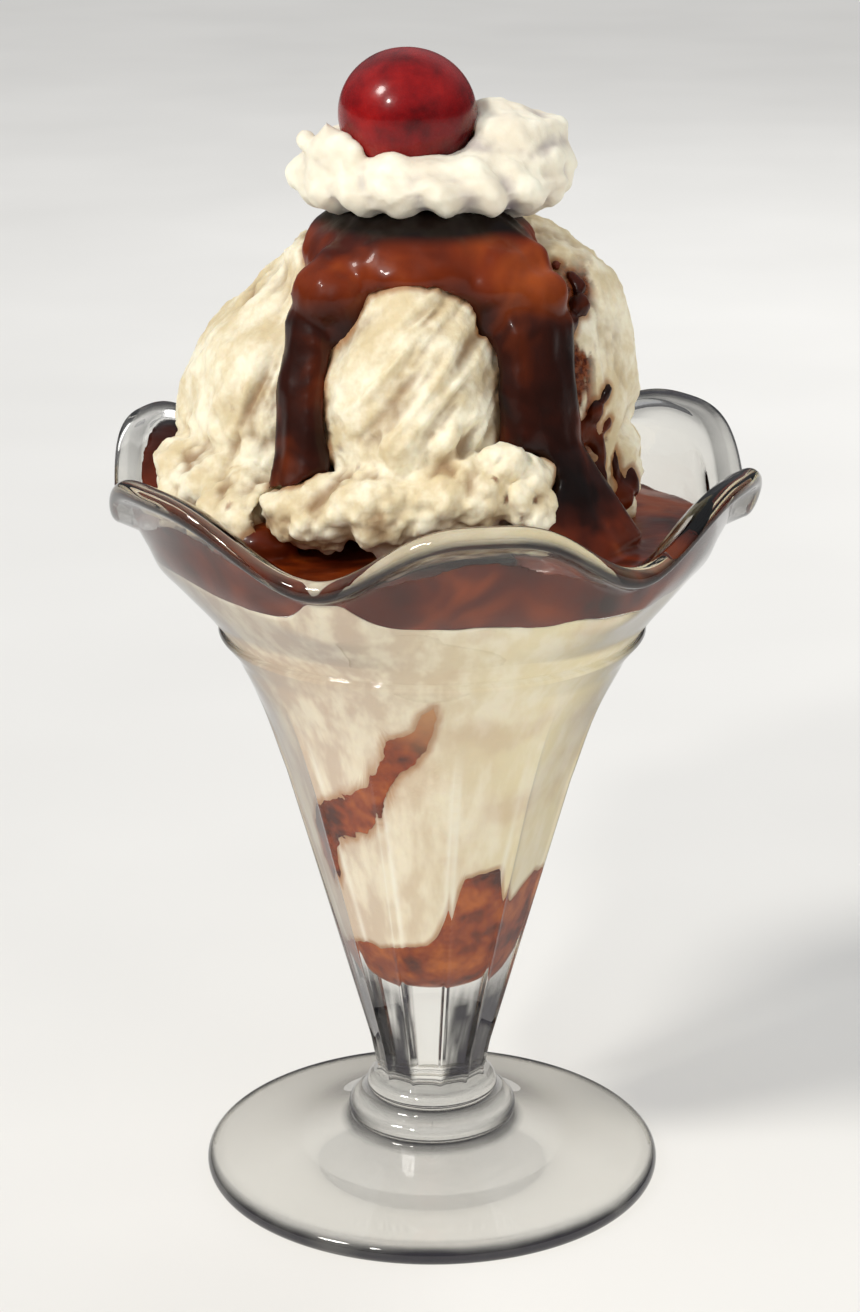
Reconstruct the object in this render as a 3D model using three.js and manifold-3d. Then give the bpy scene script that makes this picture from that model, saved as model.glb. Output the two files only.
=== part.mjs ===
// Ice cream sundae in a panelled tulip glass with a ruffled rim.
// Millimetres, +Z up. The origin is the centre of the foot's underside and -Y is the front.
// An azimuth is measured from the front, in degrees, positive towards +X.
import * as THREE from 'three';
import { mergeVertices } from 'three/addons/utils/BufferGeometryUtils.js';
import Module from 'manifold-3d';

const wasm = await Module();
wasm.setup();

// ---------------------------------------------------------------- driving dimensions
const gap = 0.3; // clearance between neighbouring pieces
const sides = 48; // facets around the glass and what fills it

const foot = { radius: 38, edgeRound: 1.75, middle: [24, 5.6], top: [12.9, 9.2] };
const collar = { radius: 14, height: 11, round: 2 };
const cushion = { radius: 10.9, height: 15.2, round: 1.8 };
const stem = { radius: 9, bottom: 18, panels: 12 };
const cone = { bottomRadius: 10.2, bottom: 24, topRadius: 23.7, top: 72 };
const ridge = { radius: 34.4, height: 95.8, round: 0.9 };
const rim = { radius: 52, height: 119.8, round: 1.7 };
// The rim is crimped by hand: petals of uneven width follow each other from the first valley.
const ruffle = { firstValley: -21, petalWidths: [60, 52.5, 67.5, 60, 52.5, 67.5], lift: 4.9, bulge: 1.3 };
const wall = 2.7;
const cavityFloor = 35.5;

const pool = { level: 114.6, floor: 108.6 };
const film = { rise: 6, from: 39.5, to: 45.5, petals: [9, -55, -114], width: 17 }; // fudge left on petals
const baseFudge = { level: 45, lobeRise: 13.5 };

// ---------------------------------------------------------------- small helpers
const radians = THREE.MathUtils.degToRad;
const smoothstep = THREE.MathUtils.smoothstep;
const lerp = THREE.MathUtils.lerp;

// Difference of two azimuths, from -180 to 180 degrees.
function turnBetween(a, b) {
  return THREE.MathUtils.euclideanModulo(a - b + 180, 360) - 180;
}

// A smooth hump of height 1 round one azimuth.
function hump(azimuth, centre, width) {
  return Math.exp(-((turnBetween(azimuth, centre) / width) ** 2));
}

function seededRandom(seed) {
  let state = seed >>> 0;
  return () => {
    state = (Math.imul(state, 1664525) + 1013904223) >>> 0;
    return state / 4294967296;
  };
}

// A soft, repeatable unevenness: a function of a direction that stays within -1 and 1.
function unevenness(seed) {
  const random = seededRandom(seed);
  const waves = Array.from({ length: 6 }, () => {
    const turn = random() * Math.PI * 2;
    const rise = random() * 2 - 1;
    const flat = Math.sqrt(1 - rise * rise);
    const along = new THREE.Vector3(Math.cos(turn) * flat, Math.sin(turn) * flat, rise);
    return { along, pace: 2.5 + random() * 4.5, phase: random() * Math.PI * 2 };
  });
  return (direction) => {
    const sum = waves.reduce((total, { along, pace, phase }) =>
      total + Math.sin(along.dot(direction) * pace + phase), 0);
    return sum / waves.length;
  };
}

// Turns a closed three.js geometry into a solid that can be joined and cut.
function toSolid(geometry) {
  const bare = geometry.clone();
  bare.deleteAttribute('normal');
  bare.deleteAttribute('uv');
  const merged = mergeVertices(bare, 1e-4);
  const triangles = [];
  const index = merged.index.array;
  for (let i = 0; i < index.length; i += 3) {
    const [a, b, c] = [index[i], index[i + 1], index[i + 2]];
    if (a !== b && b !== c && c !== a) triangles.push(a, b, c);
  }
  return new wasm.Manifold(new wasm.Mesh({
    numProp: 3,
    vertProperties: new Float32Array(merged.attributes.position.array),
    triVerts: new Uint32Array(triangles),
  }));
}

function toGeometry(solid) {
  const { vertProperties, triVerts } = solid.getMesh();
  const geometry = new THREE.BufferGeometry();
  geometry.setAttribute('position', new THREE.BufferAttribute(vertProperties, 3));
  geometry.setIndex(new THREE.BufferAttribute(triVerts, 1));
  geometry.computeVertexNormals();
  return geometry;
}

function joined(solids) {
  return solids.reduce((whole, solid) => whole.add(solid));
}

// Keeps the largest connected body of a cut solid.
function largestBody(solid) {
  return solid.decompose().reduce((best, body) => (body.volume() > best.volume() ? body : best));
}

// Points on an arc in the profile plane; x is the radius and y the height.
function arcPoints(centreRadius, centreHeight, round, fromDegrees, toDegrees, steps) {
  return Array.from({ length: steps + 1 }, (_, i) => {
    const angle = radians(lerp(fromDegrees, toDegrees, i / steps));
    return new THREE.Vector2(centreRadius + round * Math.cos(angle), centreHeight + round * Math.sin(angle));
  });
}

// Spins a profile that starts and ends on the axis. `place` may move each point:
// it gets the row's number, radius, height and azimuth and returns [radius, height].
function spun(profile, place) {
  const geometry = new THREE.LatheGeometry(profile, sides, radians(ruffle.firstValley));
  const position = geometry.attributes.position;
  for (let i = 0; i < position.count; i += 1) {
    const step = Math.floor(i / profile.length) % sides;
    const row = i % profile.length;
    const azimuth = ruffle.firstValley + step * 360 / sides;
    const [radius, height] = place(row, profile[row].x, profile[row].y, azimuth);
    const angle = radians(azimuth);
    position.setXYZ(i, radius * Math.sin(angle), -radius * Math.cos(angle), height);
  }
  return toSolid(geometry);
}

// ---------------------------------------------------------------- the glass
// 1 on a petal's crest and -1 in the valley beside it; crests are broad, valleys narrow.
function petalWave(azimuth) {
  let along = THREE.MathUtils.euclideanModulo(azimuth - ruffle.firstValley, 360);
  const width = ruffle.petalWidths.find((span) => {
    if (along < span) return true;
    along -= span;
    return false;
  });
  const fromCrest = 0.5 + 0.5 * Math.cos(2 * Math.PI * along / width);
  return 1 - 2 * fromCrest ** 1.5;
}

// Lifts and bulges a point of the bowl into its petal; nothing moves below the ridge.
function ruffled(radius, height, azimuth) {
  const share = smoothstep(height, ridge.height + 1, rim.height);
  const wave = petalWave(azimuth);
  return [radius + ruffle.bulge * wave * share, height + ruffle.lift * wave * share];
}

// Flattens a round section into the panels of the stem and cone.
function panelled(radius, height, azimuth) {
  const belowBowl = 1 - smoothstep(height, cone.top, ridge.height - 3);
  const share = smoothstep(height, stem.bottom - 1, stem.bottom) * belowBowl;
  const halfPanel = 180 / stem.panels;
  const fromEdge = THREE.MathUtils.euclideanModulo(azimuth - ruffle.firstValley, 2 * halfPanel);
  const flat = Math.cos(radians(halfPanel)) / Math.cos(radians(fromEdge - halfPanel));
  return radius * lerp(1, flat, share);
}

const outerProfile = [
  new THREE.Vector2(0, 0),
  ...arcPoints(foot.radius - foot.edgeRound, foot.edgeRound, foot.edgeRound, -90, 80, 3),
  new THREE.Vector2(...foot.middle),
  new THREE.Vector2(...foot.top),
  ...arcPoints(collar.radius - collar.round, collar.height, collar.round, -50, 72, 2),
  ...arcPoints(cushion.radius - cushion.round, cushion.height, cushion.round, -50, 62, 2),
  new THREE.Vector2(stem.radius, stem.bottom),
  new THREE.Vector2(cone.bottomRadius, cone.bottom),
  new THREE.Vector2(cone.topRadius, cone.top),
  new THREE.Vector2(27.7, 83.5),
  new THREE.Vector2(31.8, 92.4),
  ...arcPoints(ridge.radius - ridge.round, ridge.height, ridge.round, -20, 70, 1),
  new THREE.Vector2(36.6, 100),
  new THREE.Vector2(40.6, 104.4),
  new THREE.Vector2(44, 108.6),
  new THREE.Vector2(47.6, 116.6),
  ...arcPoints(rim.radius - rim.round, rim.height, rim.round, -75, 115, 3),
];

// The inside, from the cavity's floor up to the rim.
const innerProfile = [
  new THREE.Vector2(0, cavityFloor),
  new THREE.Vector2(7, cavityFloor + 1.9),
  new THREE.Vector2(10.1, cavityFloor + 5.4),
  new THREE.Vector2(12.7, 45),
  new THREE.Vector2(cone.topRadius - wall, cone.top),
  new THREE.Vector2(25, 84.5),
  new THREE.Vector2(29.2, 93),
  new THREE.Vector2(33.4, 100),
  new THREE.Vector2(37.8, 105.4),
  new THREE.Vector2(43.1, 114),
  new THREE.Vector2(44.9, 117.6),
  new THREE.Vector2(47.6, 120.4),
];

function glassSolid() {
  const profile = [...outerProfile, ...[...innerProfile].reverse()];
  return spun(profile, (row, radius, height, azimuth) => {
    const outside = row < outerProfile.length;
    return ruffled(outside ? panelled(radius, height, azimuth) : radius, height, azimuth);
  });
}

// The room inside the glass, `inset` away from the wall and carried on above the rim.
function cavitySolid(inset) {
  const wallGap = inset * 1.4;
  const inside = innerProfile.map((point) => new THREE.Vector2(Math.max(point.x - wallGap, 0), point.y));
  inside[0].y += inset;
  inside[1].y += inset;
  const lid = [[44, 132], [44, aboveAll - 5], [0, aboveAll - 5]].map((point) => new THREE.Vector2(...point));
  const profile = [...inside, ...lid];
  return spun(profile, (row, radius, height, azimuth) => (
    row < inside.length ? ruffled(radius, height, azimuth) : [radius, height]));
}

// ---------------------------------------------------------------- what fills the glass
const beyondWall = 58;
const aboveAll = 200;

// Everything above a surface, which gives a height for a radius and an azimuth.
function above(surface, rings, offset = 0) {
  const lower = [0, ...rings, beyondWall].map((radius) => new THREE.Vector2(radius, 0));
  const profile = [...lower, new THREE.Vector2(beyondWall, 1), new THREE.Vector2(0, 1)];
  return spun(profile, (row, radius, height, azimuth) => (
    [radius, row < lower.length ? surface(radius, azimuth) + offset : aboveAll]));
}

// Where the ice cream of the cone ends and the fudge pool begins.
function poolFloor(radius, azimuth) {
  const nearWall = smoothstep(radius, 20, 38);
  const rise = 5 * hump(azimuth, -21, 6) + 1.6 * hump(azimuth, -70, 30) - 0.8 * hump(azimuth, 40, 25);
  return pool.floor + nearWall * rise;
}

// The top of the fudge pool: it climbs the petal at the back left, lies low at the back right
// and leaves a film up the inside of three petals.
function poolTop(radius, azimuth) {
  const nearWall = smoothstep(radius, 30, 46);
  const rise = 4.2 * hump(azimuth, -112, 22) - 2.6 * hump(azimuth, 135, 45) + 0.8 * hump(azimuth, 60, 30);
  const petals = film.petals.reduce((sum, centre) => sum + hump(azimuth, centre, film.width), 0);
  return pool.level + nearWall * rise + film.rise * petals * smoothstep(radius, film.from, film.to);
}

// The top of the fudge at the bottom of the cone: a lobe and a streak climb its right side.
function baseTop(radius, azimuth) {
  const nearWall = smoothstep(radius, 4, 14);
  const lobe = Math.min(1.5 * hump(azimuth, 27, 16), 1);
  const right = 0.6 * hump(azimuth, 62, 16) + 0.75 * hump(azimuth, 88, 20);
  const rise = lobe + right - 0.3 * hump(azimuth, -95, 35) + 0.2 * hump(azimuth, 180, 40);
  return baseFudge.level + nearWall * baseFudge.lobeRise * rise;
}

// The fudge streak on the wall: a ribbon that rises across the left of the cone.
const streakDepth = 2.2;
const streakStops = [
  { azimuth: -64, height: 54.5, width: 1.2 },
  { azimuth: -61, height: 60, width: 2.2 },
  { azimuth: -55, height: 65.5, width: 3 },
  { azimuth: -43, height: 68, width: 2.8 },
  { azimuth: -31, height: 70.5, width: 3.2 },
  { azimuth: -23.5, height: 74.5, width: 1.7 },
  { azimuth: -16.4, height: 79, width: 1.4 },
  { azimuth: -10, height: 83, width: 2.5 },
  { azimuth: -3, height: 87.5, width: 1.3 },
  { azimuth: 0.5, height: 92.5, width: 1.1 },
];

// Radius of the glass's inside at a height.
function innerRadius(height) {
  const next = innerProfile.findIndex((point) => point.y >= height);
  const [low, high] = [innerProfile[next - 1], innerProfile[next]];
  return lerp(low.x, high.x, (height - low.y) / (high.y - low.y));
}

function streakSolid(grow) {
  return stream(streakStops.map(({ azimuth, height, width }) => {
    const radius = innerRadius(height);
    const at = [radius * Math.sin(radians(azimuth)), -radius * Math.cos(radians(azimuth)), height];
    return { at, width, depth: streakDepth };
  }), grow, 5);
}

// ---------------------------------------------------------------- lumps and streams
// An uneven ball: `radii` are its half sizes, `lean` tips it about X and Y in degrees.
function lump({ at, radii, lean = [0, 0], bumps = 0, seed = 1, detail = 4 }, grow = 0) {
  const geometry = new THREE.IcosahedronGeometry(1, detail);
  const position = geometry.attributes.position;
  const roughness = unevenness(seed);
  const turn = new THREE.Euler(radians(lean[0]), radians(lean[1]), 0);
  const size = new THREE.Vector3(...radii);
  const point = new THREE.Vector3();
  for (let i = 0; i < position.count; i += 1) {
    point.fromBufferAttribute(position, i).normalize();
    const swell = grow + bumps * roughness(point);
    point.set(point.x * (size.x + swell), point.y * (size.y + swell), point.z * (size.z + swell));
    point.applyEuler(turn).add(new THREE.Vector3(...at));
    position.setXYZ(i, point.x, point.y, point.z);
  }
  return toSolid(geometry);
}

// A closed stream along a smooth path through `stops`. Each stop has its half width and its
// half thickness; the width lies along the mound's side and the thickness points away from its axis.
function stream(stops, grow = 0, around = 8, stepsPerStop = 1) {
  const path = new THREE.CatmullRomCurve3(stops.map(({ at }) => new THREE.Vector3(...at)));
  const steps = (stops.length - 1) * stepsPerStop;
  const rows = [new THREE.Vector2(0, 0)];
  for (let i = 0; i <= steps; i += 1) rows.push(new THREE.Vector2(1, i / steps));
  rows.push(new THREE.Vector2(0, 1));
  const geometry = new THREE.LatheGeometry(rows, around);
  const position = geometry.attributes.position;
  for (let i = 0; i < position.count; i += 1) {
    const { x: radius, y: share } = rows[i % rows.length];
    const turn = (Math.floor(i / rows.length) % around) * 2 * Math.PI / around;
    const point = path.getPoint(share);
    const along = path.getTangent(share);
    const outward = new THREE.Vector3(point.x, point.y, 0);
    outward.addScaledVector(along, -outward.dot(along)).normalize();
    const across = along.clone().cross(outward);
    const stop = Math.min(Math.floor(share * (stops.length - 1)), stops.length - 2);
    const past = share * (stops.length - 1) - stop;
    const halfWidth = grow + lerp(stops[stop].width, stops[stop + 1].width, past);
    const halfDepth = grow + lerp(stops[stop].depth, stops[stop + 1].depth, past);
    point.addScaledVector(across, Math.sin(turn) * halfWidth * radius);
    point.addScaledVector(outward, Math.cos(turn) * halfDepth * radius);
    if (radius === 0) point.addScaledVector(along, (share === 0 ? -0.7 : 0.7) * halfDepth);
    position.setXYZ(i, point.x, point.y, point.z);
  }
  return toSolid(geometry);
}

// ---------------------------------------------------------------- scoops of ice cream
const leftScoop = [
  { at: [-18.6, 2, 129.5], radii: [21.5, 22, 31], lean: [0, 14.5], bumps: 1.4, seed: 11, detail: 3 },
  { at: [-30, -5, 121], radii: [13.5, 16, 10], bumps: 1.2, seed: 12, detail: 2 },
  { at: [-27, -20, 119.5], radii: [9.5, 9, 7.5], bumps: 1, seed: 13, detail: 2 },
  { at: [-29, 14, 121], radii: [12, 12, 9], bumps: 1.1, seed: 14, detail: 2 },
  { at: [-19.5, -2, 153], radii: [5.6, 10, 8], bumps: 0.8, seed: 15, detail: 1 },
];
const rightScoop = [
  { at: [12, 2, 137], radii: [20, 22, 25], lean: [0, -4], bumps: 1.2, seed: 21, detail: 3 },
  { at: [14, 0, 121], radii: [19.5, 21, 18], bumps: 1.2, seed: 22, detail: 2 },
];
const frontScoop = [
  { at: [-3, -14, 136], radii: [16.5, 20, 23.5], bumps: 0.6, seed: 31, detail: 3 },
];
const backScoop = [
  { at: [-2, 17, 132], radii: [22, 19, 27], lean: [-8, 0], bumps: 1.4, seed: 41, detail: 3 },
  { at: [-10, 27, 119], radii: [14, 10, 9], bumps: 1.1, seed: 42, detail: 1 },
];

// The ragged skirt pressed out under the front scoop: crumbly lumps along an arc.
function skirtLumps() {
  const random = seededRandom(77);
  const count = 9;
  return Array.from({ length: count }, (_, i) => {
    const along = i / (count - 1);
    const x = lerp(-20.5, 13.5, along);
    const y = -Math.sqrt(37.5 ** 2 - (x + 3) ** 2) + 5.5 + random() * 1.5;
    const size = lerp(5.4, 5.2, along) + 1.6 * Math.sin(Math.PI * along) + random() * 1.2;
    const height = lerp(121.5, 127, along) + random() * 1.6 - 0.8;
    return { at: [x, y, height], radii: [size, size, size * 0.95], bumps: 0.9, seed: 50 + i, detail: 1 };
  });
}

// ---------------------------------------------------------------- fudge over the scoops
const crown = { at: [-1.8, -5, 156.5], radii: [18.8, 20.6, 10], bumps: 0.6, seed: 81, detail: 3 };
// Where the crown runs into the two front streams it hangs down beside the front scoop's dome.
const crownCorners = [
  { at: [-14.8, -19.6, 153.6], radii: [6.2, 5.6, 5.2], bumps: 0.3, seed: 82, detail: 1 },
  { at: [9, -19.4, 154.6], radii: [6, 5.4, 4.8], bumps: 0.3, seed: 83, detail: 1 },
];
const leftStream = [
  { at: [-8, -14, 161], width: 5, depth: 4.2 }, { at: [-14, -17, 155.5], width: 4.8, depth: 4.6 },
  { at: [-17.4, -18.8, 148], width: 4.6, depth: 5 }, { at: [-18.8, -22, 139], width: 4.3, depth: 4.2 },
  { at: [-19.2, -24, 129], width: 4.5, depth: 4.2 }, { at: [-21.5, -28, 120], width: 5.5, depth: 4.2 },
  { at: [-23, -30, 114], width: 7, depth: 4.5 },
];
const rightStream = [
  { at: [5, -13.5, 161], width: 7, depth: 4.5 }, { at: [11.5, -17, 156], width: 7.4, depth: 4.6 },
  { at: [15, -19.6, 148], width: 7.5, depth: 4.4 }, { at: [15.6, -21.6, 139], width: 7, depth: 4.4 },
  { at: [16.4, -23, 130], width: 7.4, depth: 4.6 }, { at: [19.6, -24.5, 121.5], width: 9.5, depth: 5.5 },
  { at: [22.5, -26, 114], width: 12.5, depth: 7 },
];
const backStream = [
  { at: [7, 12, 161], width: 5, depth: 4.2 }, { at: [12, 16.5, 155], width: 4.8, depth: 4.2 },
  { at: [15.6, 19.6, 146], width: 4.5, depth: 4.2 }, { at: [18.2, 22.4, 136], width: 4.3, depth: 4.2 },
  { at: [19.6, 24.6, 125], width: 4.8, depth: 4.2 }, { at: [21, 27, 114], width: 6.5, depth: 4.5 },
];

// ---------------------------------------------------------------- whipped cream and cherry
const creamLumps = [
  { at: [0, -1, 168.3], radii: [21.5, 20, 6.3], bumps: 0.9, seed: 61, detail: 2 },
  { at: [10.5, 0, 171.5], radii: [11.5, 12.5, 8], bumps: 0.9, seed: 62, detail: 2 },
  { at: [-11, -1, 169.5], radii: [10.5, 11, 6.5], bumps: 0.9, seed: 63, detail: 2 },
  { at: [-13.4, -7.5, 171.6], radii: [5.6, 6.4, 5], bumps: 0.4, seed: 64, detail: 1 },
  { at: [6.8, -8.6, 171], radii: [5.6, 5.6, 5.6], bumps: 0.4, seed: 65, detail: 1 },
];
const cherryBody = { at: [-3.8, -5, 178.4], radii: [10.6, 10.4, 10], bumps: 0.15, seed: 71, detail: 3 };

function lumps(list, grow = 0) {
  return joined(list.map((one) => lump(one, grow)));
}

// ---------------------------------------------------------------- assembly
const parts = new THREE.Group();
function addPart(name, solid, color, roughness) {
  const material = new THREE.MeshStandardMaterial({ color, roughness, metalness: 0 });
  const mesh = new THREE.Mesh(toGeometry(solid), material);
  mesh.name = name;
  parts.add(mesh);
}

const cavity = cavitySolid(gap);
const aboveBase = (offset) => above(baseTop, [14], offset);
const aboveFill = (offset) => above(poolFloor, [38], offset);
const abovePool = (offset) => above(poolTop, [38, 45], offset);
const room = cavity.intersect(abovePool(gap));
const fill = cavity.intersect(aboveBase(gap)).subtract(aboveFill(0)).subtract(streakSolid(gap));

addPart('glass', glassSolid(), '#dfe3df', 0.08);
addPart('fudge_base', cavity.subtract(aboveBase(0)), '#5a2410', 0.3);
addPart('fudge_streak', streakSolid(0).intersect(cavity), '#5a2410', 0.3);
addPart('ice_cream_fill', fill, '#f0e4c6', 0.6);
addPart('fudge_pool', cavity.intersect(aboveFill(gap)).subtract(abovePool(0)), '#4a1c0c', 0.2);

const scoops = {
  scoop_front: [...frontScoop, ...skirtLumps()],
  scoop_left: leftScoop,
  scoop_right: rightScoop,
  scoop_back: backScoop,
};
let mound = null;
for (const [name, list] of Object.entries(scoops)) {
  const solid = lumps(list).intersect(room);
  addPart(name, largestBody(mound ? solid.subtract(mound) : solid), '#f0e4c6', 0.6);
  mound = mound ? mound.add(lumps(list, gap)) : lumps(list, gap);
}

function fudgeFlow(grow) {
  const streams = [leftStream, rightStream, backStream].map((stops) => stream(stops, grow));
  return joined([lumps([crown, ...crownCorners], grow), ...streams]);
}
addPart('fudge_cap', largestBody(fudgeFlow(0).intersect(room).subtract(mound)), '#4a1c0c', 0.2);

const cream = lumps(creamLumps).subtract(lump(cherryBody, gap)).subtract(fudgeFlow(gap)).subtract(mound);
addPart('whipped_cream', largestBody(cream), '#f5f0e4', 0.5);
addPart('cherry', lump(cherryBody), '#a01418', 0.15);

export default parts;
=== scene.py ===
# Ice cream sundae in a ruffled tulip glass: glass, ice cream, fudge, whipped cream, cherry.
# Sizes are worked out in millimetres and the meshes are made in metres, in the CAD frame.
# An azimuth is measured from the front (-Y), in degrees, positive towards +X.
import itertools
import math

import bmesh
import bpy
import numpy as np
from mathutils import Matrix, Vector
from mathutils.bvhtree import BVHTree


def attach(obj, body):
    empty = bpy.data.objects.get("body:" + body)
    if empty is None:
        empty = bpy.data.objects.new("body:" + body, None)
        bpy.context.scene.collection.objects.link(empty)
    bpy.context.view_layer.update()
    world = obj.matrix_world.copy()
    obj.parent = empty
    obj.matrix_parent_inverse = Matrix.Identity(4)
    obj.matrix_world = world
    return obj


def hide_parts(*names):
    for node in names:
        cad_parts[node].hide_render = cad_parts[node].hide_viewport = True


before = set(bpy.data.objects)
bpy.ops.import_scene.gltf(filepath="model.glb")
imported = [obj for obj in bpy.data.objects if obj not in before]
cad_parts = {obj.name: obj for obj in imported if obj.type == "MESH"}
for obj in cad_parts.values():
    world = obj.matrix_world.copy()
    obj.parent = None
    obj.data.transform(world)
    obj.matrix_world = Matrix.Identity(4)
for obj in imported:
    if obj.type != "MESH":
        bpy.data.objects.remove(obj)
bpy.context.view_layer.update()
mm = 0.001
print("frame loaded")

scene = bpy.context.scene
scene.view_settings.view_transform = "Standard"

# camera: a little above the cherry, looking down at the sundae
camera = {"place": (-0.35, -500, 255), "lookDown": 18.25, "lens": 89.45}
lensData = bpy.data.cameras.new("sundaeCamera")
lensData.lens = camera["lens"]
lensData.sensor_width = 36
lensData.clip_start = 0.01
cameraObject = bpy.data.objects.new("sundaeCamera", lensData)
cameraObject.location = Vector(camera["place"]) * mm
cameraObject.rotation_euler = (math.radians(90 - camera["lookDown"]), 0, 0)
scene.collection.objects.link(cameraObject)
scene.camera = cameraObject


# numbers that vary smoothly in space
def smoothStep(value, low, high):
    share = np.clip((value - low) / (high - low), 0, 1)
    return share * share * (3 - 2 * share)


def hump(azimuth, centre, width):
    # 1 at the centre, falling to 0 on both sides of it
    away = (azimuth - centre + 180) % 360 - 180
    return np.exp(-(away / width) ** 2)


def humps(azimuth, several):
    # several rises and dips, each a size, an azimuth and a width
    return sum(size * hump(azimuth, centre, width) for size, centre, width in several)


def bothSides(azimuth, side, width):
    return hump(azimuth, side, width) + hump(azimuth, -side, width)


def between(value, start, end):
    # eases in over start and out over end, each a low and a high value
    return smoothStep(value, *start) * (1 - smoothStep(value, *end))


def azimuthOf(points):
    return np.degrees(np.arctan2(points[:, 0], -points[:, 1]))


def distanceOut(points):
    return np.hypot(points[:, 0], points[:, 1])


# large odd numbers that scatter neighbouring cells, and the bits that are kept
scatter = {"axes": (73856093, 19349663, 83492791), "seed": (40503, 977), "stir": 739982445,
           "shifts": (15, 12, 14), "bits": 0xFFFFFFFF}


def cellNumber(cells, seed):
    # a repeatable number from 0 to 1 for each whole-numbered cell
    x, y, z = (cells[..., i].astype(np.int64) * scatter["axes"][i] for i in range(3))
    mixed = (x ^ y ^ z ^ (seed * scatter["seed"][0] + scatter["seed"][1])) & scatter["bits"]
    for shift in scatter["shifts"]:
        mixed = ((mixed ^ (mixed >> shift)) * scatter["stir"]) & scatter["bits"]
    return (mixed >> 8) / float(1 << 24)


def softNoise(points, size, seed):
    # -1 to 1, changing over about `size`, which may be one number or one for each axis
    scaled = points / np.asarray(size, dtype=float)
    base = np.floor(scaled)
    part = scaled - base
    ease = part * part * (3 - 2 * part)
    total = np.zeros(len(points))
    for corner in itertools.product((0, 1), repeat=3):
        weight = np.prod(np.where(np.array(corner) == 1, ease, 1 - ease), axis=1)
        total += weight * cellNumber(base + corner, seed)
    return 2 * total - 1


def layeredNoise(points, size, seed, layers=3):
    total = np.zeros(len(points))
    for layer in range(layers):
        layerSize = np.asarray(size, dtype=float) / 2 ** layer
        total += softNoise(points, layerSize, seed + layer) / 2 ** layer
    return total / (2 - 0.5 ** (layers - 1))


def pebbles(points, size, seed):
    # 1 in the middle of a crumb and 0 between crumbs
    scaled = points / size
    base = np.floor(scaled)
    nearest = np.full(len(points), np.inf)
    for step in itertools.product((-1, 0, 1), repeat=3):
        cell = base + step
        centre = cell + np.stack([cellNumber(cell, seed + axis) for axis in range(3)], axis=-1)
        nearest = np.minimum(nearest, np.sum((scaled - centre) ** 2, axis=1))
    return 1 - np.clip(np.sqrt(nearest), 0, 1)


# mesh helpers
def meshFrom(name, points, faces):
    mesh = bpy.data.meshes.new(name)
    mesh.from_pydata([tuple(point) for point in np.asarray(points) * mm], [], faces)
    mesh.validate()
    return mesh


def grownCopy(nodeName, grow):
    # the node's mesh, merged, with its skin moved outwards
    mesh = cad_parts[nodeName].data.copy()
    work = bmesh.new()
    work.from_mesh(mesh)
    bmesh.ops.remove_doubles(work, verts=work.verts, dist=0.00001)
    bmesh.ops.recalc_face_normals(work, faces=work.faces)
    work.normal_update()
    for vertex, normal in [(v, v.normal.copy()) for v in work.verts]:
        vertex.co += normal * grow * mm
    work.to_mesh(mesh)
    work.free()
    return mesh


def facingOut(mesh):
    # turns the faces of a closed mesh outwards
    work = bmesh.new()
    work.from_mesh(mesh)
    bmesh.ops.recalc_face_normals(work, faces=work.faces)
    work.to_mesh(mesh)
    work.free()
    return mesh


def surfaceOf(*meshes):
    # the meshes as one surface that can be probed
    work = bmesh.new()
    for mesh in meshes:
        work.from_mesh(mesh)
    surface = BVHTree.FromBMesh(work)
    work.free()
    return surface


def ballMesh(at, radii, lean=0, detail=3):
    # a ball with three half sizes; lean turns it about Y, in degrees
    work = bmesh.new()
    bmesh.ops.create_icosphere(work, subdivisions=detail, radius=1)
    turn = math.radians(lean)
    for vertex in work.verts:
        x, y, z = (vertex.co[i] * radii[i] for i in range(3))
        vertex.co = Vector((x * math.cos(turn) + z * math.sin(turn), y,
                            z * math.cos(turn) - x * math.sin(turn)))
        vertex.co = (vertex.co + Vector(at)) * mm
    mesh = bpy.data.meshes.new("ball")
    work.to_mesh(mesh)
    work.free()
    return mesh


def fusedMesh(name, meshes, voxel, smoothing):
    # joins closed shapes into one skin
    work = bmesh.new()
    for mesh in meshes:
        work.from_mesh(mesh)
    joinedMesh = bpy.data.meshes.new(name)
    work.to_mesh(joinedMesh)
    work.free()
    draft = bpy.data.objects.new(name, joinedMesh)
    scene.collection.objects.link(draft)
    skin = draft.modifiers.new("skin", "REMESH")
    skin.mode = "VOXEL"
    skin.voxel_size = voxel * mm
    soften = draft.modifiers.new("soften", "SMOOTH")
    soften.factor = 0.5
    soften.iterations = smoothing
    depsgraph = bpy.context.evaluated_depsgraph_get()
    result = bpy.data.meshes.new_from_object(draft.evaluated_get(depsgraph))
    bpy.data.objects.remove(draft)
    result.name = name
    return result


def meshPoints(mesh):
    points = np.empty(len(mesh.vertices) * 3)
    normals = np.empty(len(mesh.vertices) * 3)
    mesh.vertices.foreach_get("co", points)
    mesh.vertex_normals.foreach_get("vector", normals)
    return points.reshape(-1, 3) / mm, normals.reshape(-1, 3)


def movePoints(mesh, points):
    mesh.vertices.foreach_set("co", (points * mm).ravel())
    mesh.update()


def storeShare(mesh, name, values):
    stored = mesh.attributes.new(name, "FLOAT", "POINT")
    stored.data.foreach_set("value", np.clip(values, 0, 1))


def finishPiece(name, mesh, material, slot, *replaced):
    piece = bpy.data.objects.new(name, mesh)
    scene.collection.objects.link(piece)
    mesh.materials.clear()
    mesh.materials.append(material)
    mesh.polygons.foreach_set("use_smooth", [True] * len(mesh.polygons))
    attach(piece, "root")
    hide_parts(*replaced)
    print(name, len(mesh.polygons), "faces")


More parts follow.
